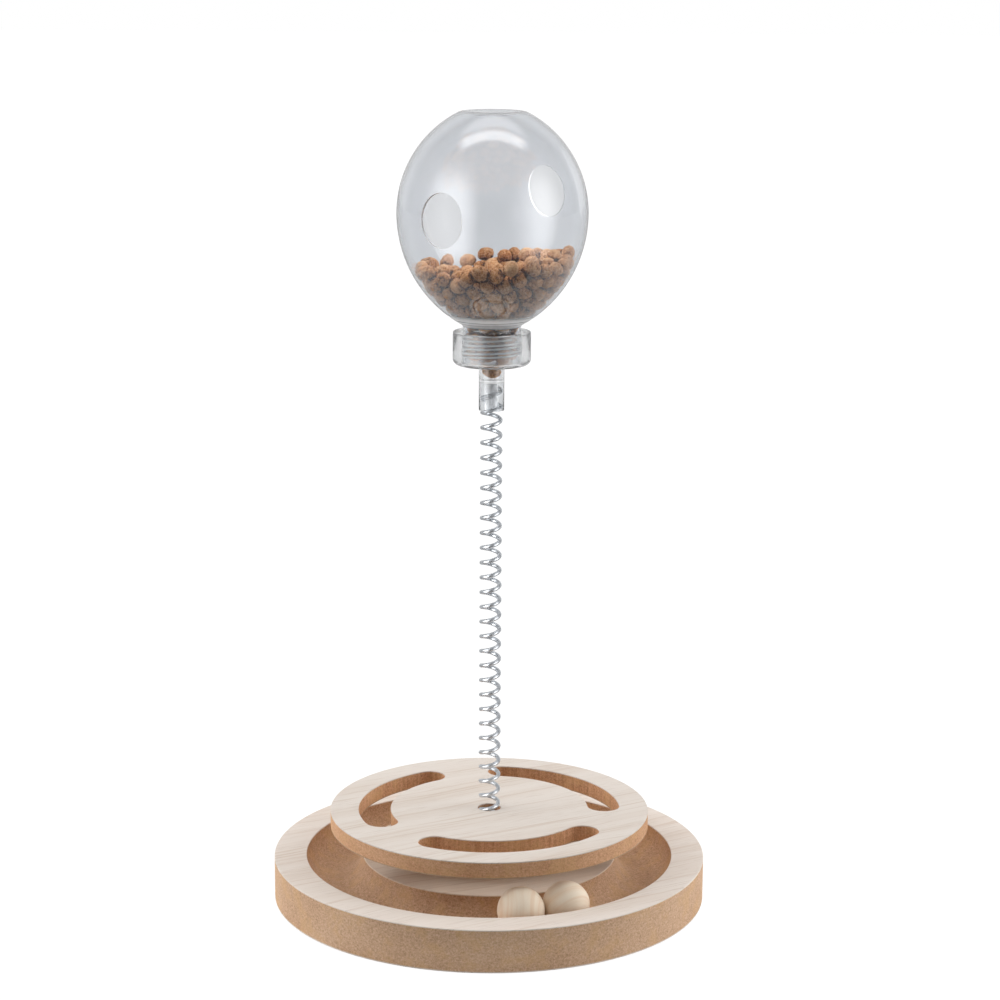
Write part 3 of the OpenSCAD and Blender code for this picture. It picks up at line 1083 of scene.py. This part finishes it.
def makeThread(name, wallR, outward, turns, startZ, material, body):
    bm = bmesh.new()
    low = wallR + outward * thread["clear"]
    high = wallR + outward * thread["proud"]
    first = pen = startAt(bm, low, -thread["root"] / 2)
    for i in range(1, thread["ridgeSteps"] + 1):
        across = math.pi * i / thread["ridgeSteps"]
        rise = (high - low) * math.sin(across)
        pen = lineTo(bm, pen, low + rise, -thread["root"] / 2 * math.cos(across))
    bm.edges.new((pen, first))
    turned = Matrix.Rotation(math.radians(thread["startAngle"]), 4, "Z")
    bmesh.ops.transform(bm, matrix=turned @ Matrix.Translation((0, 0, startZ)), verts=bm.verts[:])
    windUp(bm, turns, thread["pitch"] * turns, round(turns * thread["turnSteps"]))
    piece = newPiece(name, bm, material, thread["sharp"])
    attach(piece, body)


# both threads are milkier than the neck and cap, so their ridges show as light lines: painted highlight
ridgeHighlight = milkyMaterial("milkyRidgeHighlight", *thread["finish"])
makeThread("neckThread", globe["neckR"], 1, thread["neckTurns"], thread["neckStart"],
           ridgeHighlight, "globe")
makeThread("capThread", cap["threadWallR"], -1, thread["capTurns"], thread["capStart"],
           ridgeHighlight, "cap")
print("cap and threads made")


# kibble: grains settle in the globe, then each gets its own lumpy shape

kibble = {
    "seed": 11,
    "count": 244,
    "inNeck": 15,
    "small": 3.8 * mm,
    "large": 4.7 * mm,
    "dropReach": 36 * mm,
    "dropFrom": 14,  # this and the next three are millimetres
    "dropRise": 40,
    "neckFrom": 5,
    "neckTo": 22,
    "neckReach": 0.15,
    "neckTop": 4 * mm,
    "rounds": 250,
    "passes": 3,
    "pull": (0.045, 0.0, -0.45),
    "spread": 0.13,
    "spreadOver": 12 * mm,
    "tight": 0.97,
    "push": 0.42,
    "lump": 0.16,
    "lumpScale": 1.1,
    "grit": 0.06,
    "gritScale": 3.4,
    "seedSpan": 90,
    "long": 1.16,
    "flat": 0.90,
    "loose": 0.96,
    "looseRise": 4.9 * mm,
    "gap": 1.8 * mm,
    "shaded": 0.5,
    "sharp": 60,
}


def settleGrains(radii, rng):
    tiny = 1e-6
    neckInner = globe["neckR"] - globe["wall"]
    bowlInner = globe["lowerArcR"] - globe["wall"]
    count = len(radii)
    angles = np.array([rng.uniform(0, 2 * math.pi) for _ in range(count)])
    reach = np.array([kibble["dropReach"] * math.sqrt(rng.random()) for _ in range(count)])
    drops = np.array([(kibble["dropFrom"] + kibble["dropRise"] * i / count) * mm for i in range(count)])
    spots = np.stack([reach * np.cos(angles), reach * np.sin(angles), bowlZ + drops], axis=1)
    inNeckFirst = np.linspace(kibble["neckFrom"], kibble["neckTo"], kibble["inNeck"]) * mm
    spots[:kibble["inNeck"], :2] *= kibble["neckReach"]
    spots[:kibble["inNeck"], 2] = capFloor + inNeckFirst
    reachSum = radii[:, None] + radii[None, :]
    pull = np.array(kibble["pull"])
    for step in range(kibble["rounds"]):
        ease = mm * (1 - step / kibble["rounds"]) ** 0.5
        axisOut = spots[:, :2] / np.maximum(np.linalg.norm(spots[:, :2], axis=1), tiny)[:, None]
        spots += ease * pull
        inBowl = (spots[:, 2] > bowlZ + kibble["spreadOver"])[:, None]
        spots[:, :2] += ease * kibble["spread"] * axisOut * inBowl
        for _ in range(kibble["passes"]):
            apart = spots[:, None, :] - spots[None, :, :]
            gap = np.linalg.norm(apart, axis=2) + np.eye(count)
            push = np.maximum(reachSum * kibble["tight"] - gap, 0) * (1 - np.eye(count))
            spots += kibble["push"] * (push[:, :, None] * apart / gap[:, :, None]).sum(axis=1)
            out = np.linalg.norm(spots[:, :2], axis=1)
            fromWide = np.stack([out + lowerOff, spots[:, 2] - wideZ], axis=1)
            far = np.linalg.norm(fromWide, axis=1)
            inNeck = (spots[:, 2] < bowlZ + kibble["neckTop"]) & (out < neckInner)
            over = np.where(inNeck, 0, np.maximum(far - (bowlInner - radii), 0))
            back = fromWide / far[:, None] * over[:, None]
            spots[:, 2] -= back[:, 1]
            newOut = out - back[:, 0]
            neckOver = np.where(inNeck, np.maximum(newOut - (neckInner - radii), 0), 0)
            newOut = np.maximum(newOut - neckOver, 0)
            spots[:, :2] *= (newOut / np.maximum(out, tiny))[:, None]
            spots[:, 2] = np.maximum(spots[:, 2], capFloor + radii)
    return spots


def addGrain(bm, toneAndShadeLayer, spot, radius, tone, rng):
    verts = bmesh.ops.create_icosphere(bm, subdivisions=2, radius=1.0)["verts"]
    seed = Vector([rng.uniform(0, kibble["seedSpan"]) for _ in range(3)])
    for vert in verts:
        lump = noise.noise(vert.co * kibble["lumpScale"] + seed) * kibble["lump"]
        grit = noise.noise(vert.co * kibble["gritScale"] + seed) * kibble["grit"]
        vert.co *= 1 + lump + grit
        vert[toneAndShadeLayer] = tone
    shape = Matrix.Diagonal((radius * kibble["long"], radius, radius * kibble["flat"], 1))
    spin = Quaternion((rng.gauss(0, 1), rng.gauss(0, 1), rng.gauss(0, 1)), rng.uniform(0, math.pi))
    place = Matrix.Translation(spot) @ spin.to_matrix().to_4x4() @ shape
    bmesh.ops.transform(bm, matrix=place, verts=verts)


# darkens each grain where it comes near the next one: painted shade in the gaps between grains
def shadeGaps(bm, gapShadeLayer, spots, radii):  # notes how near each point lies to the next grain
    places = np.array([vert.co for vert in bm.verts])
    owner = np.repeat(np.arange(len(radii)), len(places) // len(radii))
    gaps = np.linalg.norm(places[:, None, :] - spots[None, :, :], axis=2) - radii[None, :]
    gaps[np.arange(len(places)), owner] = 1.0
    cover = np.clip(1 - gaps.min(axis=1) / kibble["gap"], 0, 1)
    for vert, near in zip(bm.verts, cover):
        vert[gapShadeLayer] = near


def makeKibble():
    rng = random.Random(kibble["seed"])
    radii = np.array([rng.uniform(kibble["small"], kibble["large"]) for _ in range(kibble["count"])])
    spots = settleGrains(radii, rng)
    radii = np.append(radii, kibble["large"])
    spots = np.vstack([spots, (0, 0, plugZ + kibble["looseRise"])])
    bm = bmesh.new()
    toneAndShadeLayer = bm.verts.layers.float.new("tone")
    gapShadeLayer = bm.verts.layers.float.new("cover")
    for spot, radius in zip(spots, radii):
        # grains below the bowl, in the neck, get a lower tone: painted shade
        tone = rng.random() - (kibble["shaded"] if spot[2] < bowlZ else 0)
        addGrain(bm, toneAndShadeLayer, Vector(spot), radius * kibble["loose"], tone, rng)
    shadeGaps(bm, gapShadeLayer, spots, radii)
    piece = newPiece("kibbleHeap", bm, kibbleMaterial(), kibble["sharp"])
    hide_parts("kibble")
    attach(piece, "kibble")


makeKibble()
print("kibble settled")


# floor, light and camera

studio = {
    "floorSize": 12.0,
    "floorFront": 0.16,
    "floorDrop": 0.1 * mm,
    "floorTint": (0.86, 0.86, 0.86),
    "floorLift": 0.86,
    "floorGlow": 1.10,
    "floorDim": 0.55,
    "through": 0.80,
    "dark": 0.10,
    "panel": 4.6,
    "panelLean": 0.25,
    "veiled": 0.86,
    "side": 0.20,
    "front": 0.25,
    "strip": 3.0,
    "over": 1.10,
    "rear": 0.55,
    "fill": 0.06,
    "sideFill": 2.8,
    "topFill": 0.55,
    "rearFill": 0.40,
    "inside": 0.45,
    "insideTop": 2.3,
    "keyPower": 2.2,
    "keyPlace": (-0.10, 0.25, 1.40),
    "keyTarget": (0, 0, 0.1),
    "keyWidth": 0.90,
    "keyDepth": 0.70,
}

# where each light of the studio starts and is full, as a share of the direction looked in
lightEdge = {
    "low": (0.35, 0.90),
    "panelSide": (0.27, 0.80),
    "panelTurn": (-0.55, 0.10),
    "panelFoot": (-0.80, -0.45),
    "side": (0.55, 0.85),
    "camera": (0.15, 0.45),
    "frontTurn": (-0.30, 0.30),
    "frontFoot": (-0.15, 0.10),
    "overHigh": (0.80, 0.92),
    "overTurn": (0.10, 0.28),
    "stripHigh": (0.78, 0.90),
    "stripDepth": (0.05, 0.18),
    "stripWidth": (0.40, 0.66),
    "rearTurn": (0.45, 0.75),
    "rearHigh": (0.70, 0.88),
    "fillSide": (0.45, 0.90),
    "fillTurn": (-0.55, 0.0),
    "fillHigh": (0.25, 0.90),
    "fillRear": (0.0, 0.60),
    "insideHigh": (0.1, 0.9),
}


def whiteLight(start, kind, strength):
    return start.node(kind, None, {"Color": (1, 1, 1, 1), "Strength": strength})


def mixShaders(start, factor, first, second):
    return start.node("MixShader", None, {0: factor, 1: first, 2: second})


def rising(value, name):
    return smoothStep(value, *lightEdge[name])


def falling(value, name):
    return 1 - rising(value, name)


def floorMaterial():
    material = bpy.data.materials.new("paleFloor")
    start = emptyTree(material)
    paper = start.node("BsdfDiffuse", None, {"Color": (*studio["floorTint"], 1)})
    camera = start.node("LightPath", output="Is Camera Ray")
    through = start.node("LightPath", output="Is Transmission Ray")
    mirrored = start.node("LightPath", output="Is Glossy Ray")
    white = whiteLight(start, "Emission", camera * studio["floorGlow"] + through * studio["through"])
    seen = camera * studio["floorLift"] + mirrored * studio["floorDim"] + through
    start.node("OutputMaterial", None, {"Surface": mixShaders(start, seen, paper, white)})
    return material


def makeFloor():
    bm = bmesh.new()
    bmesh.ops.create_grid(bm, x_segments=1, y_segments=1, size=studio["floorSize"] / 2)
    back = studio["floorSize"] / 2 - studio["floorFront"]
    bmesh.ops.translate(bm, vec=(0, back, -studio["floorDrop"]), verts=bm.verts[:])
    mesh = bpy.data.meshes.new("floor")
    bm.to_mesh(mesh)
    bm.free()
    mesh.materials.append(floorMaterial())
    floor = bpy.data.objects.new("floor", mesh)
    scene.collection.objects.link(floor)


def makeWorld():
    world = bpy.data.worlds.new("studio")
    start = emptyTree(world)
    look = start.node("TexCoord", output="Generated")
    x = look.node("SeparateXYZ", None, {0: look}, "X")
    y = look.node("SeparateXYZ", None, {0: look}, "Y")
    z = look.node("SeparateXYZ", None, {0: look}, "Z")
    aside = start.maths("ABSOLUTE", x, 0.0)
    deep = start.maths("ABSOLUTE", y, 0.0)
    level = start.maths("ABSOLUTE", z, 0.0)
    camera = start.node("LightPath", output="Is Camera Ray")
    entered = start.maths("MINIMUM", start.node("LightPath", output="Transmission Depth"), 1.0)
    scattered = start.maths("MINIMUM", start.node("LightPath", output="Diffuse Depth"), 1.0)
    reflected = start.maths("MINIMUM", start.node("LightPath", output="Glossy Depth"), 1.0)

    # what shiny surfaces mirror
    low = falling(z, "low")
    panels = rising(aside - x * studio["panelLean"], "panelSide") * falling(y, "panelTurn") * low
    panels = panels * rising(z, "panelFoot")
    sides = rising(aside, "side") * low
    cameraSide = falling(aside, "camera") * falling(level, "camera")
    front = falling(y, "frontTurn") * (1 - cameraSide) * rising(z, "frontFoot")
    over = rising(z, "overHigh") * rising(y, "overTurn")
    strip = rising(z, "stripHigh") * falling(deep, "stripDepth") * falling(aside, "stripWidth")
    rear = rising(y, "rearTurn") * falling(z, "rearHigh")
    mirrored = panels * (1 - entered * studio["veiled"]) * studio["panel"] + sides * studio["side"]
    mirrored = mirrored + front * studio["front"] + strip * studio["strip"] + over * studio["over"]
    mirrored = mirrored + rear * studio["rear"] + studio["dark"]

    # what lights dull surfaces, with more of it inside the globe
    ambient = rising(aside, "fillSide") * rising(y, "fillTurn") * studio["sideFill"]
    ambient = ambient + rising(z, "fillHigh") * studio["topFill"]
    ambient = ambient + rising(y, "fillRear") * studio["rearFill"] + studio["fill"]
    fromTop = entered * rising(z, "insideHigh") * studio["insideTop"]
    lifted = ambient * (1 + entered * studio["inside"]) + fromTop

    soft = whiteLight(start, "Background", lifted)
    sharp = whiteLight(start, "Background", mirrored)
    through = whiteLight(start, "Background", studio["through"])
    white = whiteLight(start, "Background", 1.0)
    clear = mixShaders(start, reflected, through, sharp)
    lit = mixShaders(start, scattered, clear, soft)
    start.node("OutputWorld", None, {"Surface": mixShaders(start, camera, lit, white)})
    scene.world = world


def makeLamp(name, place, target, width, depth, power):
    lamp = bpy.data.lights.new(name, "AREA")
    lamp.shape = "RECTANGLE"
    lamp.size = width
    lamp.size_y = depth
    lamp.energy = power
    holder = bpy.data.objects.new(name, lamp)
    holder.location = place
    holder.rotation_mode = "QUATERNION"
    holder.rotation_quaternion = (Vector(target) - Vector(place)).to_track_quat("-Z", "Y")
    holder.visible_camera = False
    holder.visible_glossy = False
    holder.visible_transmission = False
    scene.collection.objects.link(holder)


view = {
    "place": (4.85 * mm, -1361.2 * mm, 521.5 * mm),
    "down": 12.438,
    "roll": 0.36,
    "lens": 93.6,
    "sensor": 36.0,
}


def makeCamera():
    data = bpy.data.cameras.new("photoCamera")
    data.lens = view["lens"]
    data.sensor_width = view["sensor"]
    camera = bpy.data.objects.new("photoCamera", data)
    camera.location = view["place"]
    camera.rotation_mode = "QUATERNION"
    tilt = Quaternion((1, 0, 0), math.radians(90 - view["down"]))
    camera.rotation_quaternion = tilt @ Quaternion((0, 0, 1), math.radians(view["roll"]))
    scene.collection.objects.link(camera)
    scene.camera = camera


makeFloor()
makeWorld()
makeLamp("topSoftbox", studio["keyPlace"], studio["keyTarget"], studio["keyWidth"], studio["keyDepth"],
         studio["keyPower"])
makeCamera()
print("studio set")
